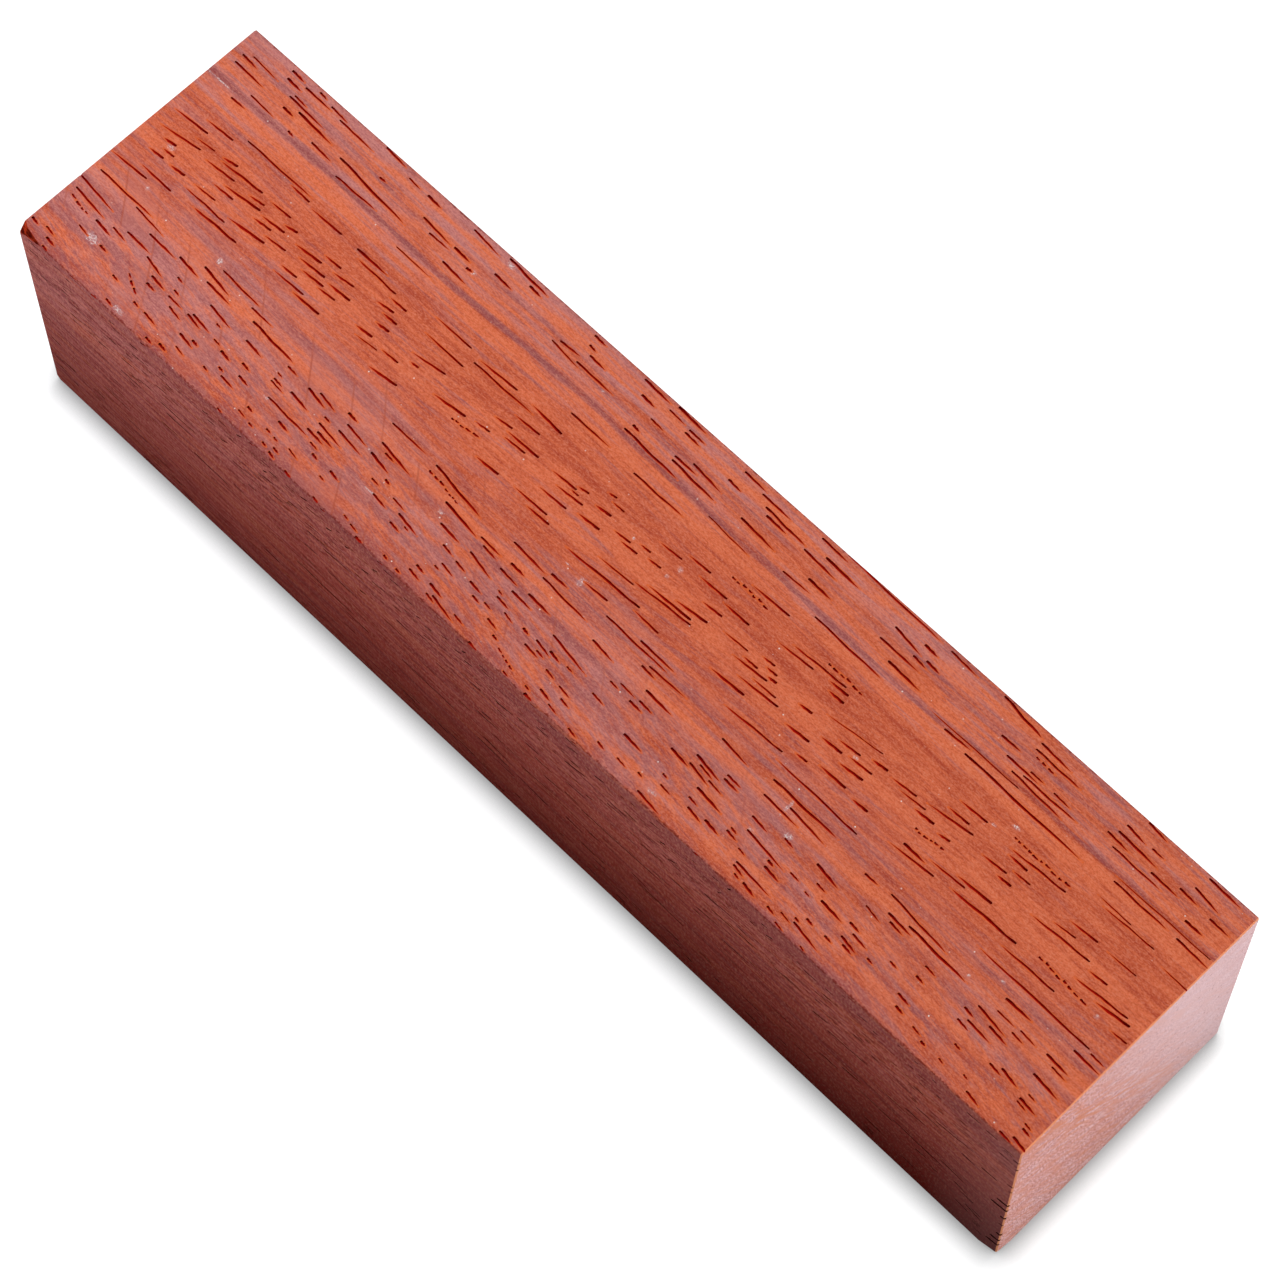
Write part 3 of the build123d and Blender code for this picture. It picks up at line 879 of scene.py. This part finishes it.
EVEN_ON_NEAR = [
    (89.4, 7.5, 93.6, 6.9), (90.5, 9.7, 96.3, 9.2), (98.0, 9.6, 102.0, 9.4), (81.5, 9.7, 84.6, 9.2),
    (117.8, 10.5, 122.5, 9.4), (105.0, 12.8, 110.0, 12.3), (88.5, 12.5, 91.6, 12.1),
    (74.0, 14.95, 83.7, 14.5), (60.2, 14.5, 63.5, 14.2), (69.0, 15.1, 71.7, 14.8),
    (66.0, 18.1, 70.0, 17.7), (91.7, 14.6, 95.4, 14.4), (104.3, 20.1, 107.0, 19.9),
    (107.4, 19.85, 112.6, 19.6), (113.5, 19.75, 119.8, 19.9), (119.0, 18.75, 122.5, 18.9),
    (38.0, 9.0, 41.0, 8.5), (18.0, 10.9, 23.0, 10.6), (12.8, 8.9, 14.8, 8.6), (24.7, 3.4, 25.7, 2.9),
    (77.3, 7.5, 79.5, 7.0), (77.7, 6.65, 79.9, 6.3), (53.7, 8.0, 55.4, 7.5), (63.2, 9.5, 64.6, 9.3),
    (122.6, 23.9, 124.9, 24.7), (121.0, 20.8, 122.8, 21.3), (69.1, 4.0, 69.7, 3.5),
    (126.2, 2.7, 127.9, 2.3), (126.7, 4.5, 127.9, 4.2), (126.3, 9.6, 127.9, 9.2),
    (126.6, 11.0, 127.9, 10.7), (126.4, 20.9, 127.9, 20.5), (26.8, 6.2, 27.8, 5.7),
    (35.7, 6.6, 36.6, 6.2), (40.2, 9.7, 44.0, 9.3), (30.0, 11.1, 31.2, 10.9), (9.4, 10.2, 10.9, 9.9),
    (5.5, 9.6, 6.6, 9.4), (58.0, 4.5, 58.9, 4.1), (53.0, 5.1, 53.6, 4.7), (56.3, 4.1, 57.2, 3.7),
    (85.0, 7.3, 86.2, 6.4), (74.6, 10.3, 75.7, 9.9), (91.1, 4.2, 91.6, 3.6), (17.3, 15.7, 20.0, 15.4),
    (22.0, 15.8, 27.0, 16.2), (35.8, 19.1, 44.0, 19.4), (50.2, 19.2, 58.0, 19.5),
    (74.8, 18.9, 76.5, 18.7), (80.3, 18.9, 83.0, 19.4), (60.9, 19.6, 64.5, 19.9),
    (45.0, 11.6, 46.0, 11.2),
]

# Vessels on the near side that the saw tore open where they meet the sawn end
TORN_ON_NEAR = [
    (125.6, 15.3, 128.4, 14.4), (125.0, 16.9, 128.6, 15.9), (126.4, 18.9, 128.0, 18.3),
    (126.4, 23.9, 128.2, 23.2), (125.8, 25.8, 128.4, 24.9), (125.5, 27.3, 128.4, 26.3),
]


def bead_vessel(head, tail, rng):
    """Notes a vessel on the top as an uneven row of small pits, if there is room for it."""
    points = axis_points(head, tail, SIDES["top"][1], BEADED_WIDTH)
    if not is_free(points, BEADED_WIDTH * 0.6):
        return
    take(points, BEADED_WIDTH)
    along = (tail - head).normalized()
    side = Vector((-along.y, along.x, 0))
    beaded.append(("top", head, tail, BEADED_WIDTH * 0.7))
    place = 0.0
    while place < (tail - head).length:
        start = head + along * place + side * rng.uniform(*BEAD_OFFSET) * MM
        length = rng.uniform(*BEAD_LENGTH) * MM
        beads.append(("top", start, start + along * length, rng.uniform(*BEAD_WIDTH) * MM))
        place += length * 1.06 + rng.uniform(*BEAD_GAP) * MM


def scatter(face, count, rng):
    """Opens vessels on a face by chance, closer where the grain leans more."""
    origin, outward = SIDES[face]
    sideways = outward.cross(Vector((1, 0, 0)))
    middle = Vector((0, MIDDLE.y, MIDDLE.z))
    middle += outward * (origin - middle).dot(outward)
    made = 0
    tries = 0
    while made < count and tries < count * 40:
        tries += 1
        head = middle + Vector((rng.uniform(BACK, FRONT), 0, 0))
        head += sideways * rng.uniform(-0.495, 0.495) * SIZE.y
        grain = grain_direction(head)
        dive = grain.dot(outward)
        if rng.random() > (4.5 if face == "top" else 6.0) * abs(dive) - 0.02:
            continue
        run = grain - outward * dive
        if dive < 0:
            run = -run
        width = VESSEL_WIDTH * (rng.uniform(0.6, 1.02) if face == "top" else rng.uniform(0.42, 0.78))
        length = width / max(abs(dive), 0.01) * rng.uniform(0.25, 1.1)
        length = min(max(length, 0.6 * MM), rng.uniform(1.5, 6.5) * MM)
        turn = Matrix.Rotation(math.radians(rng.gauss(0, 1.8)), 3, outward)
        tail = head + (turn @ run.normalized()) * length
        if abs(tail.x) > FRONT + 0.5 * MM:
            continue
        if open_vessel(face, head, tail, width):
            made += 1


def lay(model, face, place, run, size):
    """A copy of a model of unit size, laid at a place on a face, along the run."""
    outward = SIDES[face][1]
    along = run.normalized()
    turn = Matrix((along, outward.cross(along), outward)).transposed().to_4x4()
    copy = bpy.data.objects.new(model.name, model.data.copy())
    copy.data.transform(Matrix.Translation(place) @ turn @ Matrix.Diagonal((*size, 1)))
    bpy.context.scene.collection.objects.link(copy)
    return copy


def lay_tube(tube, face, head, tail, width):
    """A copy of the tube, laid so that its opening on the face runs from head to tail."""
    run = tail - head
    return lay(tube, face, head, run, (run.length, width, width))


def lay_flank(plate, face, head, tail, width, depth):
    """A copy of the flank's outline, laid over a vessel and a little past its tail."""
    run = tail - head
    size = (run.length * 1.12 + FLANK_SPARE, width + FLANK_WIDTH * 2, FLANK_THICKNESS)
    place = head + run * 0.54 + SIDES[face][1] * (FLANK_THICKNESS / 2 - depth)
    return lay(plate, face, place, run, size)


# How rough a vessel's wall is, and how deep under the face that begins
WALL_ROUGHNESS = 0.034 * MM
RIM_DEPTH = 0.02 * MM


def carve(block, cutters, roughness=0.0, seed=0):
    """Joins the cutters and takes them out of the block. Their material lines what they leave."""
    only(cutters[0])
    for cutter in cutters:
        cutter.select_set(True)
    bpy.ops.object.join()
    cutter = bpy.context.object
    if roughness:
        only(cutter, "EDIT")
        pick(cutter, "VERT", lambda vertex: is_under(vertex, RIM_DEPTH))
        bpy.ops.transform.vertex_random(offset=roughness, seed=seed)
        bpy.ops.object.mode_set(mode="OBJECT")
    only(block)
    cut = block.modifiers.new("cut", "BOOLEAN")
    cut.operation = "DIFFERENCE"
    cut.solver = "MANIFOLD"
    cut.object = cutter
    cut.material_mode = "TRANSFER"
    bpy.ops.object.modifier_apply(modifier="cut")
    bpy.data.objects.remove(cutter)


def apart(spans, reach):
    """Sorts flanks into rounds, so that no two of one round touch."""
    rounds = []
    for span in spans:
        face, head, tail, width = span
        box_low = Vector(min(a, b) - reach for a, b in zip(head, tail))
        box_high = Vector(max(a, b) + reach for a, b in zip(head, tail))
        for members in rounds:
            if not any(all(box_low[i] < high[i] and box_high[i] > low[i] for i in range(3))
                       for low, high, _ in members):
                members.append((box_low, box_high, span))
                break
        else:
            rounds.append([(box_low, box_high, span)])
    return [[span for _, _, span in members] for members in rounds]


block = model_block()

rng = random.Random(7)
for head_along, head_row, tail_along, tail_row in BEADED_ON_TOP:
    bead_vessel(on_top(head_along, head_row), on_top(tail_along, tail_row), rng)
for face, at, placed, width in (
    ("top", on_top, WIDE_ON_TOP, 1.04),
    ("top", on_top, EVEN_ON_TOP, 0.84),
    ("top", on_top, THIN_ON_TOP, 0.52),
    ("near", on_near, TORN_ON_NEAR, 1.5),
    ("near", on_near, WIDE_ON_NEAR, 0.92),
    ("near", on_near, EVEN_ON_NEAR, 0.72),
):
    for head_along, head_row, tail_along, tail_row in placed:
        open_vessel(face, at(head_along, head_row), at(tail_along, tail_row), VESSEL_WIDTH * width)
for face, count in (("top", 300), ("near", 250), ("far", 260), ("under", 260)):
    scatter(face, count, rng)

# Each round of flanks is a little deeper, so that no two floors lie in one plane
plate = model_flank()
flanked = beaded + [span for span in vessels if span[0] == "top"]
for number, members in enumerate(apart(flanked, FLANK_REACH)):
    carve(block, [lay_flank(plate, *span, FLANK_DEPTH * (1 + 0.07 * number)) for span in members])
bpy.data.objects.remove(plate)

lining = vessel_lining()
short = model_vessel("short_vessel", 8, SHORT_VESSEL, lining)
long = model_vessel("long_vessel", 6, LONG_VESSEL, lining)
thin = model_vessel("thin_vessel", 6, THIN_VESSEL, lining)
tubes = []
for face, head, tail, width in vessels:
    model = long if (tail - head).length > LONG_FROM else short if face == "top" else thin
    tubes.append(lay_tube(model, face, head, tail, width))
tubes += [lay_tube(thin, *bead) for bead in beads]
carve(block, tubes, WALL_ROUGHNESS, 3)
for model in (short, long, thin):
    bpy.data.objects.remove(model)

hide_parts("handle_block")
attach(block, "root")


# Floor, light and camera

WHITE = (1, 1, 1, 1)
SHADOW_REACH = 2.6 * MM
SHADOW_DEPTH = 0.38
FLOOR_SIZE = 6
FLOOR_GAP = 0.05 * MM


def shows_white(tree):
    """1 for the rays that see the white studio: the camera's, and those in gloss and glass."""
    rays = add(tree, "LightPath").outputs
    seen = add(tree, "Math", {0: rays["Is Camera Ray"], 1: rays["Is Glossy Ray"]}, operation="MAXIMUM")
    return add(tree, "Math", {0: seen, 1: rays["Is Transmission Ray"]}, operation="MAXIMUM")


def pale_floor():
    """A matt white paper sweep, with a soft shadow where the block meets it.

    It throws little light back from close to the block, so that the side stays dark at its foot.
    """
    material, tree, shader = new_material("white_paper_sweep")
    here = add(tree, "TexCoord").outputs["Object"]
    beyond = add(tree, "VectorMath", {0: here}, operation="ABSOLUTE")
    beyond = add(tree, "VectorMath", {0: beyond, 1: (FRONT, FAR, 0)}, operation="SUBTRACT")
    beyond = add(tree, "VectorMath", {0: beyond, 1: (0, 0, 0)}, operation="MAXIMUM")
    away = add(tree, "VectorMath", {0: beyond}, operation="LENGTH").outputs["Value"]
    inputs = {0: away, 1: 0.0, 2: 40 * MM, 3: 0.02, 4: 0.6}
    thrown = add(tree, "MapRange", inputs, interpolation_type="SMOOTHSTEP")
    tree.links.new(thrown.outputs[0], shader.inputs["Base Color"])
    shader.inputs["Roughness"].default_value = 1.0
    shader.inputs["Specular IOR Level"].default_value = 0.0

    corner = add(tree, "AmbientOcclusion", {"Distance": SHADOW_REACH}, samples=16).outputs["AO"]
    shade = add(tree, "MapRange", {0: corner, 1: 0.5, 2: 1.0, 3: SHADOW_DEPTH, 4: 1.0})
    glow = add(tree, "Emission", {"Color": shade, "Strength": 0.93})
    dull = add(tree, "VectorMath", {0: shade, 3: 0.3}, operation="SCALE")
    lit = add(tree, "BsdfDiffuse", {"Color": dull})
    shown = add(tree, "AddShader", {0: glow, 1: lit})
    both = add(tree, "MixShader", {0: shows_white(tree), 1: shader, 2: shown})
    output = next(node for node in tree.nodes if node.type == "OUTPUT_MATERIAL")
    tree.links.new(both.outputs[0], output.inputs[0])
    return material


bpy.ops.object.select_all(action="DESELECT")
bpy.ops.mesh.primitive_plane_add(size=FLOOR_SIZE, location=(0, 0, -FLOOR_GAP))
floor = bpy.context.object
floor.name = "floor"
floor.data.materials.append(pale_floor())

world = bpy.data.worlds.new("studio")
bpy.context.scene.world = world
world.use_nodes = True
world.node_tree.nodes.clear()
sky = add(world.node_tree, "Background", {"Color": WHITE, "Strength": 0.06})
backdrop = add(world.node_tree, "Background", {"Color": WHITE, "Strength": 1.0})
both = add(world.node_tree, "MixShader", {0: shows_white(world.node_tree), 1: sky, 2: backdrop})
add(world.node_tree, "OutputWorld", {0: both})


def softbox(name, direction, distance, size, power, colour=(1, 1, 1)):
    """A square soft lamp that faces the block from a direction."""
    place = Vector(direction).normalized() * distance
    bpy.ops.object.light_add(type="AREA", location=place)
    lamp = bpy.context.object
    lamp.name = name
    lamp.data.size = size
    lamp.data.energy = power
    lamp.data.color = colour
    lamp.rotation_euler = (-place).to_track_quat("-Z", "Y").to_euler()
    return lamp


# From above and behind, so that the near side is in shade; on the sawn end; cool light from a
# window at the chipped end; and a little to fill the near side
softbox("key_softbox", (-0.1, 0.42, 0.9), 0.9, 0.5, 5.38)
softbox("end_softbox", (0.95, 0.12, 0.3), 1.2, 0.3, 9.8)
softbox("window", (-0.68, -0.55, 0.48), 0.22, 0.1, 0.205, (0.9, 0.94, 1.06))
softbox("fill_softbox", (0.42, -0.88, 0.21), 0.285, 0.12, 0.1)

# Where the camera stands and what it aims at
AIM = Vector((2.28, 0.69, 15.1)) * MM
CAMERA_PLACE = Vector((119.05, -116.27, 383.48)) * MM
LENS = 122.69
bpy.ops.object.camera_add(location=CAMERA_PLACE)
camera = bpy.context.object
camera.name = "camera"
camera.rotation_euler = (AIM - camera.location).to_track_quat("-Z", "Y").to_euler()
camera.data.lens = LENS
camera.data.sensor_width = 36
camera.data.clip_start = 0.01
bpy.context.scene.camera = camera
bpy.context.scene.view_settings.view_transform = "Standard"
